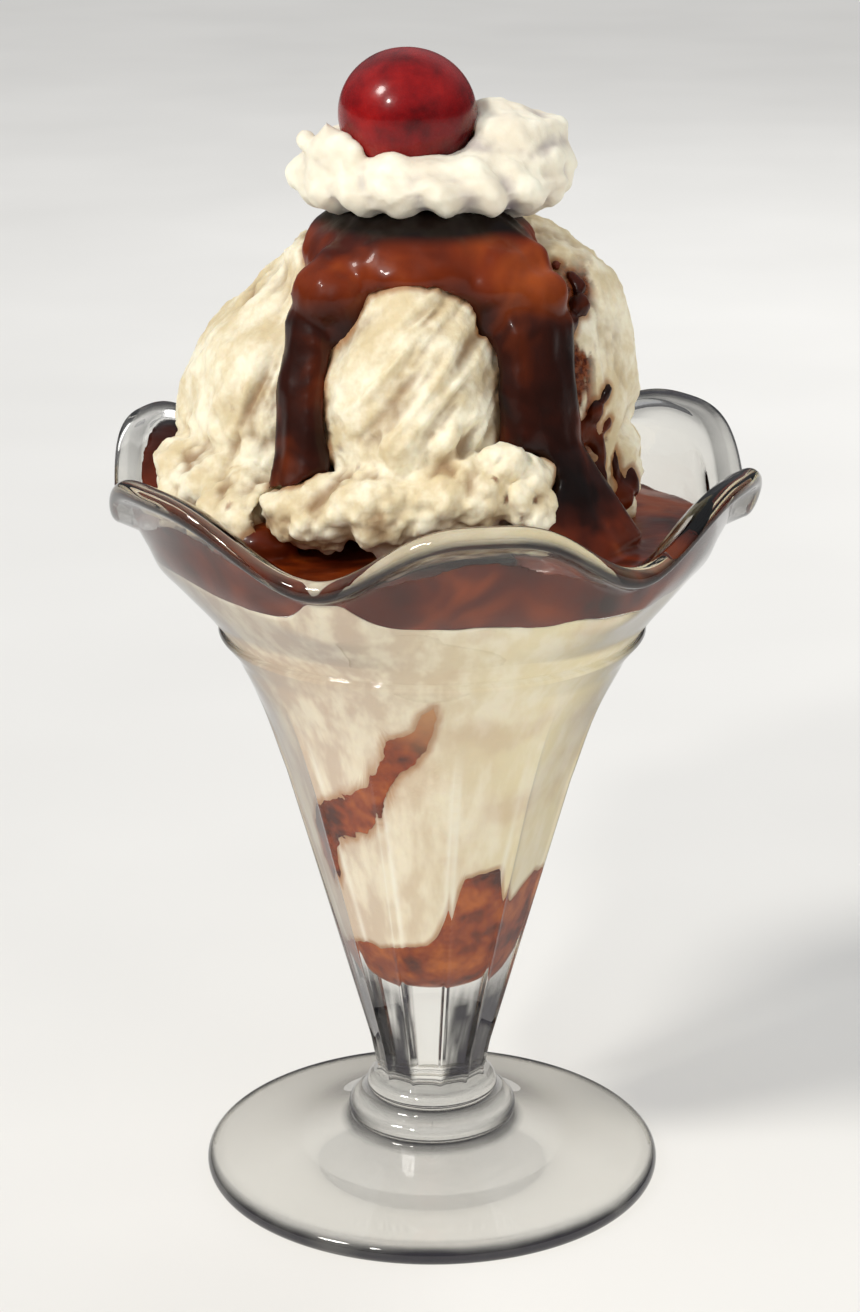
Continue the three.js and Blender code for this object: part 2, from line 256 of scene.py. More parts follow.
# shader maths: an expression on values adds its Math nodes
class Value:
    def __init__(self, nodes, socket):
        self.nodes = nodes
        self.socket = socket

    def math(self, operation, *others, flip=False):
        terms = [self, *others]
        if flip:
            terms.reverse()
        made = self.nodes.node("ShaderNodeMath", {"operation": operation}, dict(enumerate(terms)))
        return made["Value"]

    def __add__(self, other):
        return self.math("ADD", other)

    def __sub__(self, other):
        return self.math("SUBTRACT", other)

    def __rsub__(self, other):
        return self.math("SUBTRACT", other, flip=True)

    def __mul__(self, other):
        return self.math("MULTIPLY", other)

    __radd__ = __add__
    __rmul__ = __mul__


# the nodes of a material or of the world
class NodeTree:
    def __init__(self, owner):
        owner.use_nodes = True
        self.tree = owner.node_tree
        self.tree.nodes.clear()
        coordinates = self.node("ShaderNodeTexCoord")
        self.place = coordinates["Object"]
        self.direction = coordinates["Generated"]

    def node(self, kind, settings=None, inputs=None):
        made = self.tree.nodes.new(kind)
        for key, value in (settings or {}).items():
            if key == "stops":
                ramp = made.color_ramp
                while len(ramp.elements) < len(value):
                    ramp.elements.new(0.5)
                for element, (position, colour) in zip(ramp.elements, value):
                    element.position = position
                    element.color = paint(colour)
            else:
                setattr(made, key, value)
        for key, value in (inputs or {}).items():
            socket = self.socketOf(made.inputs, key)
            if isinstance(value, Value):
                self.tree.links.new(value.socket, socket)
            else:
                socket.default_value = value
        return {out.identifier: Value(self, out) for out in made.outputs}

    def socketOf(self, sockets, key):
        if isinstance(key, int):
            return sockets[key]
        return next((s for s in sockets if s.identifier == key), None) or sockets[key]

    def noise(self, size, detail=2.0, roughness=0.5, stretch=(1, 1, 1), distortion=0.0):
        # 0 to 1; size is the spacing of its blotches in millimetres
        where = self.node("ShaderNodeMapping", {}, {"Vector": self.place, "Scale": stretch})["Vector"]
        made = self.node("ShaderNodeTexNoise", {}, {
            "Vector": where, "Scale": 1 / (size * mm), "Detail": detail,
            "Roughness": roughness, "Distortion": distortion})
        return made["Fac"]

    def ramp(self, value, stops):
        return self.node("ShaderNodeValToRGB", {"stops": stops}, {0: value})["Color"]

    def share(self, value, low, high):
        # eases from 0 at low to 1 at high
        return self.node("ShaderNodeMapRange", {"interpolation_type": "SMOOTHSTEP"}, {
            "Value": value, "From Min": low, "From Max": high})["Result"]

    def mix(self, factor, first, second):
        return self.node("ShaderNodeMix", {"data_type": "RGBA"}, {
            "Factor_Float": factor, "A_Color": first, "B_Color": second})["Result_Color"]

    def attribute(self, name):
        return self.node("ShaderNodeAttribute", {"attribute_name": name})["Fac"]

    def axis(self, letter):
        return self.node("ShaderNodeSeparateXYZ", {}, {"Vector": self.place})[letter]

    def bump(self, height, strength, distance):
        return self.node("ShaderNodeBump", {}, {
            "Height": height, "Strength": strength, "Distance": distance * mm})["Normal"]


class Finish(NodeTree):
    def __init__(self, name):
        self.material = bpy.data.materials.new(name)
        super().__init__(self.material)

    def surface(self, shader):
        self.node("ShaderNodeOutputMaterial", {}, {"Surface": shader})
        return self.material

    def opaque(self, inputs):
        return self.surface(self.node("ShaderNodeBsdfPrincipled", {}, inputs)["BSDF"])


def paint(colour):
    # screen colour, 0 to 255, to the linear colour that Blender works in
    def linear(part):
        part /= 255
        return part / 12.92 if part <= 0.04045 else ((part + 0.055) / 1.055) ** 2.4
    return (*(linear(part) for part in colour), 1)


def glassFinish():
    # thick pressed glass: clear where it faces the eye; where it turns away its colour darkens, a painted
    # shade for the dark edges it shows
    f = Finish("clearGlass")
    smears = f.noise(14, detail=3)
    turned = f.node("ShaderNodeLayerWeight", {}, {"Blend": 0.5})["Facing"]
    # painted shade: the ramp runs from clear to near black as the surface turns away
    colour = f.ramp(turned, [(0, (250, 249, 244)), (0.5, (240, 238, 232)), (0.7, (176, 172, 166)),
                             (0.84, (84, 82, 84)), (0.95, (18, 18, 24))])
    colour = f.mix(f.share(smears, 0.4, 0.8) * 0.08, colour, paint((214, 204, 196)))
    # painted shade: near black is mixed in where the glass's dark lines and patches were stored
    colour = f.mix(f.attribute("smoke"), colour, paint((10, 9, 14)))
    shader = f.node("ShaderNodeBsdfPrincipled", {}, {
        "Base Color": colour,
        "Roughness": f.share(smears, 0.35, 0.9) * 0.03,
        "Transmission Weight": 1.0, "IOR": 1.5, "Specular IOR Level": 0.2})["BSDF"]
    clear = f.node("ShaderNodeBsdfTransparent", {}, {"Color": (0.965, 0.965, 0.955, 1)})["BSDF"]
    ray = f.node("ShaderNodeLightPath")
    passes = ray["Is Shadow Ray"].math("MAXIMUM", ray["Is Diffuse Ray"])
    return f.surface(f.node("ShaderNodeMixShader", {}, {0: passes, 1: shader, 2: clear})["Shader"])


def iceCreamShader(f, colour, grain):
    syrup = f.attribute("syrup")
    colour = f.mix(syrup, colour, f.ramp(grain, [(0.35, (66, 22, 8)), (0.6, (128, 62, 22))]))
    return f.opaque({
        "Base Color": colour,
        "Roughness": 0.45 + grain * 0.25 - syrup * 0.3,
        "Subsurface Weight": 0.2, "Subsurface Radius": (1.0, 0.7, 0.4), "Subsurface Scale": 0.0025,
        "Specular IOR Level": 0.3,
        "Normal": f.bump(grain, 0.5, 0.3)})


def scoopFinish():
    f = Finish("vanillaScoop")
    blotches = f.noise(8, detail=4, roughness=0.6)
    colour = f.mix(f.share(blotches, 0.36, 0.66), paint((217, 200, 162)), paint((247, 240, 216)))
    # painted shade: darker brown in the scoops' grooves and hollows
    colour = f.mix(f.attribute("hollow"), colour, paint((142, 108, 72)))
    colour = f.mix(f.attribute("stain"), colour, paint((158, 104, 56)))
    return iceCreamShader(f, colour, f.noise(0.9, detail=3, roughness=0.6))


def coneCreamFinish():
    # pressed against the glass: brushed up and down, with painted light that leaves it greyer on its left and
    # yellower and lighter on its right
    f = Finish("vanillaInGlass")
    brushed = f.noise(4.2, detail=3, roughness=0.55, stretch=(1, 1, 0.22))
    blotches = f.noise(13, detail=3)
    # painted light: the ice cream is lighter and yellower towards the right
    litToRight = f.share(f.axis("X"), -0.016, 0.02)
    ground = f.mix(litToRight, paint((214, 194, 174)), paint((240, 227, 188)))
    colour = f.mix(f.share(brushed, 0.38, 0.66) * 0.75, ground, paint((250, 241, 218)))
    colour = f.mix(f.share(blotches, 0.5, 0.7) * 0.35, colour, paint((200, 166, 136)))
    colour = f.mix(f.attribute("stain"), colour, paint((176, 122, 74)))
    # painted highlight along the glass's panel edges
    colour = f.mix(f.attribute("rib"), colour, paint((255, 251, 238)))
    return iceCreamShader(f, colour, f.noise(0.9, detail=3, roughness=0.6))


def fudgeShader(f, colour, ripple):
    return f.opaque({
        "Base Color": colour,
        "Roughness": 0.24 + ripple * 0.16,
        "Subsurface Weight": 0.04, "Subsurface Radius": (1.0, 0.4, 0.15), "Subsurface Scale": 0.002,
        "Specular IOR Level": 0.14, "Coat Weight": 0.16, "Coat Roughness": 0.05,
        "Normal": f.bump(ripple, 0.25, 0.4)})


# heights in metres over which one colour of the fudge gives way to the next; these colours are painted light,
# shade and shadow
fudgeLevels = {"poolTop": (0.126, 0.117), "crown": (0.149, 0.158), "shadowUnderCream": (0.1608, 0.163)}


def pourFinish():
    # painted light and shade by height over the fudge's own patches: near black in the shaded streams, a lit
    # red brown over the crown and a lit rust in the pool
    f = Finish("hotFudge")
    patches = f.noise(13, detail=2.5, roughness=0.55, distortion=0.6)
    height = f.axis("Z")
    shadedStream = f.ramp(patches, [(0.34, (14, 4, 2)), (0.53, (46, 14, 5)), (0.74, (102, 40, 12))])
    crown = f.ramp(patches, [(0.3, (66, 19, 7)), (0.5, (114, 42, 13)), (0.72, (150, 68, 24))])
    pool = f.ramp(patches, [(0.34, (44, 12, 4)), (0.52, (96, 33, 8)), (0.72, (146, 64, 18))])
    colour = f.mix(f.share(height, *fudgeLevels["crown"]), shadedStream, crown)
    colour = f.mix(f.share(height, *fudgeLevels["poolTop"]), colour, pool)
    # painted shadow: near black under the edge of the whipped cream
    colour = f.mix(f.share(height, *fudgeLevels["shadowUnderCream"]), colour, paint((14, 5, 3)))
    return fudgeShader(f, colour, f.noise(3.2, detail=2))


def wallFudgeFinish():
    f = Finish("fudgeBehindGlass")
    patches = f.noise(6, detail=3, roughness=0.6)
    colour = f.ramp(patches, [(0.34, (72, 24, 6)), (0.5, (140, 57, 13)), (0.68, (186, 98, 32))])
    colour = f.mix(f.attribute("thin"), colour, paint((196, 150, 104)))
    return fudgeShader(f, colour, f.noise(3.2, detail=2))


def whippedCreamFinish():
    f = Finish("whippedCream")
    folds = f.noise(7, detail=3)
    foam = f.noise(0.7, detail=3)
    colour = f.mix(f.share(folds, 0.35, 0.7), paint((234, 225, 205)), paint((252, 247, 227)))
    # painted shade: greyer in the cream's folds and on its underside
    colour = f.mix(f.attribute("hollow"), colour, paint((158, 146, 150)))
    return f.opaque({
        "Base Color": colour,
        "Roughness": 0.45 + foam * 0.2,
        "Subsurface Weight": 0.3, "Subsurface Radius": (1.0, 0.85, 0.7), "Subsurface Scale": 0.003,
        "Normal": f.bump(foam, 0.3, 0.2)})


def cherryFinish():
    f = Finish("glaceCherry")
    flesh = f.noise(6, detail=3, roughness=0.6)
    pores = f.noise(0.6, detail=2)
    # painted shade: the cherry darkened towards its lower right
    shadedLowRight = f.share(f.axis("X") * 0.8 - f.axis("Z"), -0.181, -0.168)
    colour = f.ramp(flesh, [(0.25, (76, 5, 9)), (0.5, (128, 11, 15)), (0.8, (164, 26, 24))])
    colour = f.mix(shadedLowRight * 0.8, colour, paint((54, 3, 8)))
    return f.opaque({
        "Base Color": colour,
        "Roughness": 0.22 + pores * 0.1,
        "Subsurface Weight": 0.15, "Subsurface Radius": (1.0, 0.12, 0.08), "Subsurface Scale": 0.003,
        "Specular IOR Level": 0.15, "Coat Weight": 0.3, "Coat Roughness": 0.1,
        "Normal": f.bump(pores, 0.12, 0.15)})


wallFudge = wallFudgeFinish()
scoopCream = scoopFinish()
print("finishes made")

# the glass; what fills it is worked out from the same wall
# the bowl, the flare and the inside are places of radius and height that a smooth line runs through
glass = {
    "footRadius": 38, "footRound": 1.75, "footMiddle": (24, 5.6), "footTop": (12.9, 9.2),
    "collarRadius": 14, "collarHeight": 11, "collarRound": 2,
    "cushionRadius": 10.9, "cushionHeight": 15.2, "cushionRound": 1.8,
    "stemRadius": 9, "stemBottom": 18, "panels": 12, "panelsEnd": 92.8, "panelBead": 0.18, "beadWidth": 0.45,
    "coneBottom": (10.2, 24), "coneTop": (23.7, 72), "bowl": ((27.7, 83.5), (31.8, 92.4)),
    "ridgeRadius": 34.4, "ridgeHeight": 95.8, "ridgeRound": 0.9,
    "flare": ((36.6, 100), (40.6, 104.4), (44, 108.6), (45.9, 113), (47.6, 116.6)),
    "rimRadius": 51.87, "rimHeight": 119.8, "rimRound": 1.7,
    "firstValley": -21, "petalWidths": (60, 52.5, 67.5, 60, 52.5, 67.5), "petalLift": 4.9, "petalBulge": 1.3,
    "petalsFrom": 96.8, "petalSharpness": 1.5,
    "wall": 2.7, "cavityBottom": ((0, 35.5), (7, 37.4), (10.1, 40.9)), "lowCone": (12.7, 45),
    "insideBowl": ((25, 84.5), (29.2, 93), (33.4, 100), (37.8, 105.4), (43.1, 114), (44.9, 117.6),
                   (47.6, 120.4)),
    "straightFrom": 0.12, "straightTo": 0.88, "around": 360,
}


def petalWave(azimuth):
    along = (azimuth - glass["firstValley"]) % 360
    wave = np.zeros_like(along)
    start = 0
    for width in glass["petalWidths"]:
        inside = (along >= start) & (along < start + width)
        fromCrest = 0.5 + 0.5 * np.cos(2 * np.pi * (along - start) / width)
        wave = np.where(inside, 1 - 2 * fromCrest ** glass["petalSharpness"], wave)
        start += width
    return wave


def ruffled(radius, height, azimuth):
    share = smoothStep(height, glass["petalsFrom"], glass["rimHeight"])
    wave = petalWave(azimuth)
    return radius + glass["petalBulge"] * wave * share, height + glass["petalLift"] * wave * share


def panelled(radius, height, azimuth):
    start = (glass["stemBottom"] - 1, glass["stemBottom"])
    share = between(height, start, (glass["coneTop"][1], glass["panelsEnd"]))
    half = 180 / glass["panels"]
    fromEdge = (azimuth - glass["firstValley"]) % (2 * half)
    flat = np.cos(np.radians(half)) / np.cos(np.radians(fromEdge - half))
    toEdge = np.minimum(fromEdge, 2 * half - fromEdge)
    bead = glass["panelBead"] * np.exp(-(np.radians(toEdge) * radius / glass["beadWidth"]) ** 2)
    return radius * (1 + (flat - 1) * share) + bead * share


def arc(radius, height, around, start, end, steps):
    angles = np.radians(np.linspace(start, end, steps + 1))
    return np.column_stack([radius + around * np.cos(angles), height + around * np.sin(angles)])


def curved(points, steps):
    # a smooth line through points, by chord length
    points = np.asarray(points, dtype=float)
    lengths = np.concatenate([[0], np.cumsum(np.linalg.norm(np.diff(points, axis=0), axis=1))])
    slopes = np.gradient(points, lengths, axis=0)
    line = []
    for i in range(len(points) - 1):
        span = lengths[i + 1] - lengths[i]
        for t in np.arange(steps) / steps:
            start = (2 * t**3 - 3 * t**2 + 1) * points[i] + (t**3 - 2 * t**2 + t) * span * slopes[i]
            end = (3 * t**2 - 2 * t**3) * points[i + 1] + (t**3 - t**2) * span * slopes[i + 1]
            line.append(start + end)
    return np.array([*line, points[-1]])


def straight(first, last, steps):
    return np.linspace(first, last, steps + 1)[:-1]


def outerProfile():
    # an arc's last three numbers are its first and last angle and how many steps it has
    g = glass
    footEdge = g["footRadius"] - g["footRound"]
    footTop = arc(footEdge, g["footRound"], g["footRound"], -90, 80, 14)
    ridgeCentre = g["ridgeRadius"] - g["ridgeRound"]
    return np.vstack([
        straight((0, 0), footTop[0], 10),
        footTop,
        curved([footTop[-1], g["footMiddle"], g["footTop"]], 8)[1:],
        arc(g["collarRadius"] - g["collarRound"], g["collarHeight"], g["collarRound"], -50, 72, 12),
        arc(g["cushionRadius"] - g["cushionRound"], g["cushionHeight"], g["cushionRound"], -50, 62, 10),
        straight((g["stemRadius"], g["stemBottom"]), g["coneBottom"], 4),
        straight(g["coneBottom"], g["coneTop"], 20)[:-1],
        curved([g["coneTop"], *g["bowl"]], 7),
        arc(ridgeCentre, g["ridgeHeight"], g["ridgeRound"], -40, 72, 6),
        curved(g["flare"], 5),
        arc(g["rimRadius"] - g["rimRound"], g["rimHeight"], g["rimRound"], -75, 115, 14),
    ])


def innerProfile():
    # round at the bottom, straight in the middle of the cone and curved above
    g = glass
    coneTop = np.array((g["coneTop"][0] - g["wall"], g["coneTop"][1]))
    coneFoot = np.array(g["lowCone"])
    low = coneFoot + (coneTop - coneFoot) * g["straightFrom"]
    high = coneFoot + (coneTop - coneFoot) * g["straightTo"]
    bottom = curved([*g["cavityBottom"], coneFoot, low], 6)
    bowl = curved([high, coneTop, *g["insideBowl"]], 6)
    return np.vstack([bottom[:-1], straight(low, high, 14), bowl])


def ring(azimuths, radius, height):
    # points for every azimuth, one line each, from arrays of radius and height
    angle = np.radians(azimuths)[:, None]
    return np.stack([radius * np.sin(angle), -radius * np.cos(angle), height], axis=-1)


def spunMesh(name, lines):
    # lines holds one profile for each azimuth; each starts and ends on the axis
    count, rows = lines.shape[:2]
    body = lines[:, 1:-1].reshape(-1, 3)
    points = np.vstack([lines[:1, 0], body, lines[:1, -1]])
    inner = rows - 2
    faces = []
    for a in range(count):
        b = (a + 1) % count
        first, second = 1 + a * inner, 1 + b * inner
        faces.append((0, second, first))
        for row in range(inner - 1):
            faces.append((first + row, second + row, second + row + 1, first + row + 1))
        faces.append((first + inner - 1, second + inner - 1, len(points) - 1))
    return facingOut(meshFrom(name, points, faces))


# painted shade on the glass: dark lines at its edges, a painted contact shadow under the collar, dark grooves
# between its rings and dark stem panels; a ring is a radius and a height before ruffling, half sizes,
# darkness
paintedShadeLines = {
    "rings": (
        ((37.8, 1.5), (0.9, 2.1), 1), ((13.2, 9.2), (1.4, 0.7), 1),
        ((10.4, 13.4), (1.6, 0.9), 1), ((9.8, 17.4), (1.0, 0.5), 0.7),
        ((51.7, 119.0), (0.7, 1.0), 0.9), ((48.4, 120.8), (1.0, 0.6), 0.85), ((49.0, 117.6), (1.6, 0.8), 0.5),
    ),
    # rings of painted shade that are dark at both sides only: azimuth, width, ring
    "sideRings": ((82, 20, ((34.3, 95.9), (0.9, 0.9), 0.8)), (90, 34, ((14, 11), (0.6, 1.5), 1))),
    "coneEdge": {"side": 93, "width": 13, "dark": 0.6, "start": (18, 20), "end": (46, 64)},
    "stem": {"start": (17.8, 19), "end": (31, 40), "outside": 7, "clearPanels": (-4, 86, 176, 266),
             "clearWidth": 17, "clearEdge": (0.15, 0.6), "streakSize": (1.6, 1.6, 16), "seed": 511},
    "patchSize": 9, "seed": 501, "strength": 1.35,
}


def paintedShadeRing(radius, height, middle, half, dark):
    away = ((radius - middle[0]) / half[0]) ** 2 + ((height - middle[1]) / half[1]) ** 2
    return dark * np.exp(-away)


def paintedShadeOn(azimuth, radius, height, places):
    smoke = sum(paintedShadeRing(radius, height, *one) for one in paintedShadeLines["rings"])
    smoke = smoke * (0.8 + 0.5 * layeredNoise(places, paintedShadeLines["patchSize"], paintedShadeLines["seed"]))
    for side, width, one in paintedShadeLines["sideRings"]:
        smoke = smoke + paintedShadeRing(radius, height, *one) * bothSides(azimuth, side, width)
    edge = paintedShadeLines["coneEdge"]
    atEdge = bothSides(azimuth, edge["side"], edge["width"]) * between(height, edge["start"], edge["end"])
    smoke = smoke + edge["dark"] * atEdge
    # every third panel of the stem stays clear; the others get streaks of painted shade
    stem = paintedShadeLines["stem"]
    inStem = between(height, stem["start"], stem["end"]) * (radius > stem["outside"])
    clear = np.maximum.reduce([hump(azimuth, panel, stem["clearWidth"]) for panel in stem["clearPanels"]])
    streaks = np.clip(0.75 + 0.9 * layeredNoise(places, stem["streakSize"], stem["seed"]), 0, 1)
    smoke = smoke + inStem * (1 - smoothStep(clear, *stem["clearEdge"])) * streaks
    # a tint is mixed in linear light, so it is deepened to look as dark as its share
    return 1 - (1 - np.clip(paintedShadeLines["strength"] * smoke, 0, 1)) ** 3


def glassMesh():
    azimuths = glass["firstValley"] + np.arange(glass["around"]) * 360 / glass["around"]
    outside, inside = outerProfile(), innerProfile()[::-1]
    column = azimuths[:, None]
    out = ruffled(panelled(outside[:, 0], outside[:, 1], column), outside[:, 1], column)
    within = ruffled(inside[:, 0], inside[:, 1], column)
    lines = ring(azimuths, np.hstack([out[0], within[0]]), np.hstack([out[1], within[1]]))
    lines[:, 0, :2] = 0
    lines[:, -1, :2] = 0
    mesh = spunMesh("tulipGlass", lines)
    # each point's row in the profile before ruffling
    rows = np.vstack([outside, inside])
    rows = np.vstack([rows[:1], np.tile(rows[1:-1], (len(azimuths), 1)), rows[-1:]])
    places = meshPoints(mesh)[0]
    # the painted shade of each point of the glass
    storeShare(mesh, "smoke", paintedShadeOn(azimuthOf(places), rows[:, 0], rows[:, 1], places))
    return mesh


finishPiece("tulipGlass", glassMesh(), glassFinish(), "glass", "glass")

# what lies against the inside of the glass: rises are size, azimuth, width; ragged is height, size, seed
filling = {
    "intoWall": 0.12, "around": 288, "wallDetail": 600, "nearAxis": 4, "lowestSteps": 5, "edgeSlope": 0.5,
    "layerGap": 0.02, "pressReach": 1.6, "pressTop": (119.5, 121),
}
fudgeBase = {
    "level": 45, "rise": 13.5, "lobe": (1.5, 27, 16), "rampOut": (4, 14),
    "rises": ((0.6, 62, 16), (0.75, 88, 20), (-0.3, -95, 35), (0.2, 180, 40)),
    "ragged": ((1.1, 5, 5), (0.7, 1.8, 8)),
}
fudgePool = {
    "floor": 108.6, "floorRises": ((5, -21, 6), (1.6, -70, 30), (-0.8, 40, 25)), "floorRampOut": (20, 38),
    "floorRagged": ((0.8, 7, 6),),
    "level": 114.6, "rises": ((4.2, -112, 22), (-2.6, 135, 45), (0.8, 60, 30)), "rampOut": (30, 46),
    "film": ((6, 9, 17), (6, -55, 17), (6, -114, 17)), "filmRampOut": (39.5, 45.5), "ragged": ((0.5, 9, 7),),
}


def wobble(radius, azimuth, layers):
    # unevenness of a surface, from layers of a height, a size and a seed
    angle = np.radians(azimuth)
    flat = np.broadcast_arrays(radius * np.sin(angle), -radius * np.cos(angle), 0 * radius + 0 * azimuth)
    points = np.stack([part.ravel() for part in flat], axis=-1)
    total = sum(height * layeredNoise(points, size, seed) for height, size, seed in layers)
    return total.reshape(flat[0].shape)


def baseTop(radius, azimuth):
    nearWall = smoothStep(radius, *fudgeBase["rampOut"])
    rise = np.minimum(humps(azimuth, [fudgeBase["lobe"]]), 1) + humps(azimuth, fudgeBase["rises"])
    ragged = wobble(radius, azimuth, fudgeBase["ragged"])
    return fudgeBase["level"] + nearWall * (fudgeBase["rise"] * rise + ragged)


def poolFloor(radius, azimuth):
    nearWall = smoothStep(radius, *fudgePool["floorRampOut"])
    rise = humps(azimuth, fudgePool["floorRises"]) + wobble(radius, azimuth, fudgePool["floorRagged"])
    return fudgePool["floor"] + nearWall * rise


def poolTop(radius, azimuth):
    rise = humps(azimuth, fudgePool["rises"]) * smoothStep(radius, *fudgePool["rampOut"])
    film = humps(azimuth, fudgePool["film"]) * smoothStep(radius, *fudgePool["filmRampOut"])
    return fudgePool["level"] + rise + film + wobble(radius, azimuth, fudgePool["ragged"])


def wallLines(azimuths):
    # the inside of the glass, moved into its wall, for each azimuth
    inside = innerProfile()
    steps = np.linspace(0, len(inside) - 1, filling["wallDetail"])
    dense = np.column_stack([np.interp(steps, np.arange(len(inside)), inside[:, i]) for i in range(2)])
    radius, height = ruffled(dense[:, 0], dense[:, 1], azimuths[:, None])
    return radius + filling["intoWall"] * smoothStep(radius, 0, filling["nearAxis"]), height


def wallRadiusAt(azimuth, height):
    # radius of the inside of the glass at any height of its ruffled wall
    inside = innerProfile()
    wave = petalWave(azimuth)
    level = height.copy()
    for _ in range(12):
        share = smoothStep(level, glass["petalsFrom"], glass["rimHeight"])
        level = height - glass["petalLift"] * wave * share
    radius = np.interp(level, inside[:, 1], inside[:, 0])
    return ruffled(radius, level, azimuth)[0], level


def pressToWall(points):
    # points near the wall are moved just into it
    reach = filling["pressReach"]
    radius = distanceOut(points)
    wallRadius, level = wallRadiusAt(azimuthOf(points), points[:, 2])
    share = smoothStep(radius, wallRadius - reach, wallRadius - 0.4 * reach)
    share = share * (1 - smoothStep(level, *filling["pressTop"]))
    pressed = radius + (wallRadius + filling["intoWall"] - radius) * share
    scale = pressed / np.maximum(radius, 1)
    return points * np.column_stack([scale, scale, np.ones_like(scale)])


def fillMesh(name, lower, upper, rows=(24, 60, 30)):
    # lower and upper give a height for a radius and an azimuth; lower None is the glass's own floor
    # rows is how many points a profile has under, at the wall and on top
    azimuths = glass["firstValley"] + np.arange(filling["around"]) * 360 / filling["around"]
    radius, height = wallLines(azimuths)
    lines = []
    for i, azimuth in enumerate(azimuths):
        steps = np.arange(len(radius[i]))

        def meets(surface):
            above = height[i] - surface(radius[i], np.full_like(radius[i], azimuth))
            above = np.where(steps < filling["lowestSteps"], -1, above)
            if above.max() <= 0:
                return len(steps) - 1
            first = int(np.argmax(above > 0))
            return first - above[first] / (above[first] - above[first - 1])

        low = 0 if lower is None else meets(lower)
        high = meets(upper)
        wall = np.linspace(low, high, rows[1])
        line = [np.column_stack([np.interp(wall, steps, radius[i]), np.interp(wall, steps, height[i])])]
        if lower is not None:
            out = np.linspace(0, line[0][0, 0], rows[0])[:-1]
            line.insert(0, np.column_stack([out, lower(out, np.full_like(out, azimuth))]))
        edge = line[-1][-1]
        back = np.linspace(edge[0], 0, rows[2])[1:]
        top = edge[1] + filling["edgeSlope"] * (edge[0] - back)
        top = np.minimum(upper(back, np.full_like(back, azimuth)), top)
        lines.append(np.vstack([*line, np.column_stack([back, top])]))
    lines = np.array(lines)
    lines = ring(azimuths, lines[..., 0], lines[..., 1])
    for end in (0, -1):
        lines[:, end] = lines[:, end].mean(axis=0)
    return spunMesh(name, lines)


baseMesh = fillMesh("fudgeAtBottom", None, baseTop)
finishPiece("fudgeAtBottom", baseMesh, wallFudge, "fudge", "fudge_base")


def justOver(surface):
    return lambda radius, azimuth: surface(radius, azimuth) + filling["layerGap"]


coneMesh = fillMesh("coneIceCream", justOver(baseTop), poolFloor, rows=(24, 110, 30))

# the fudge streak that runs up the wall: a ragged ribbon between stops of azimuth, height, half width
ribbon = {
    "stops": ((-64, 54.5, 1.2), (-61, 60, 2.2), (-55, 65.5, 3), (-43, 68, 2.8), (-31, 70.5, 3.2),
              (-23.5, 74.5, 1.7), (-16.4, 79, 1.4), (-10, 83, 2.5), (-3, 87.5, 1.3), (0.5, 92.5, 1.1)),
    "depth": 2.0, "intoWall": 0.24, "along": 260, "across": 26, "taper": 14, "squareness": 0.6,
    "ragged": 0.6, "raggedSize": 6, "raggedStretch": 0.35, "raggedLanes": (7, 91), "seed": 44,
    "thin": 0.8, "faintFrom": 0.74,
}


def raggedEdges(share):
    # how wide the ribbon is along each of its edges, against its even width
    sides = []
    for lane in ribbon["raggedLanes"]:
        places = np.column_stack([share * ribbon["raggedStretch"], np.full_like(share, lane), 0 * share])
        sides.append(1 + ribbon["ragged"] * layeredNoise(places, ribbon["raggedSize"], ribbon["seed"]))
    return sides


def ribbonMesh():
    stops = curved(ribbon["stops"], 40)
    share = np.linspace(0, len(stops) - 1, ribbon["along"])
    azimuth, height, halfWidth = (np.interp(share, np.arange(len(stops)), stops[:, i]) for i in range(3))
    inside = innerProfile()
    radius = np.interp(height, inside[:, 1], inside[:, 0])
    # widths and places along the wall, in millimetres of arc
    arcLength = np.radians(azimuth) * radius
    direction = np.gradient(np.column_stack([arcLength, height]), axis=0)
    direction /= np.linalg.norm(direction, axis=1)[:, None]
    count, around = ribbon["along"], ribbon["across"]
    step = np.arange(count)
    ends = between(step, (0, ribbon["taper"]), (count - 1 - ribbon["taper"], count - 1))
    turns = np.linspace(0, 2 * np.pi, around, endpoint=False)
    first, second = raggedEdges(share)
    rough = np.where(np.cos(turns) > 0, first[:, None], second[:, None])
    across = np.cos(turns) * rough * (halfWidth * ends)[:, None]
    arcPlace = arcLength[:, None] - direction[:, 1:] * across
    up = height[:, None] + direction[:, :1] * across
    deep = ribbon["depth"] * ends[:, None] * np.maximum(-np.sin(turns), 0) ** ribbon["squareness"]
    out = np.interp(up, inside[:, 1], inside[:, 0]) + ribbon["intoWall"] - deep
    angle = arcPlace / radius[:, None]
    rows = np.stack([out * np.sin(angle), -out * np.cos(angle), up], axis=-1)
    points = np.vstack([rows.reshape(-1, 3), rows[0].mean(axis=0), rows[-1].mean(axis=0)])
    faces = []
    for b in range(around):
        after = (b + 1) % around
        for a in range(0, (count - 1) * around, around):
            faces.append((a + b, a + after, a + around + after, a + around + b))
        faces.append((len(points) - 2, after, b))
        faces.append((len(points) - 1, (count - 1) * around + b, (count - 1) * around + after))
    mesh = facingOut(meshFrom("fudgeStreak", points, faces))
    onePlace = np.append(np.repeat(step, around), [0, count - 1]) / count
    storeShare(mesh, "thin", ribbon["thin"] * smoothStep(onePlace, ribbon["faintFrom"], 1))
    return mesh


streakMesh = ribbonMesh()
finishPiece("fudgeStreak", streakMesh, wallFudge, "fudge", "fudge_streak")


def nearness(points, mesh, reach):
    # 1 where a point touches the mesh and 0 at `reach` millimetres from it
    surface = surfaceOf(mesh)
    away = [surface.find_nearest(Vector(point) * mm, reach * mm)[3] for point in points]
    away = np.array([reach if d is None else d / mm for d in away])
    return 1 - smoothStep(away, 0.2 * reach, reach)


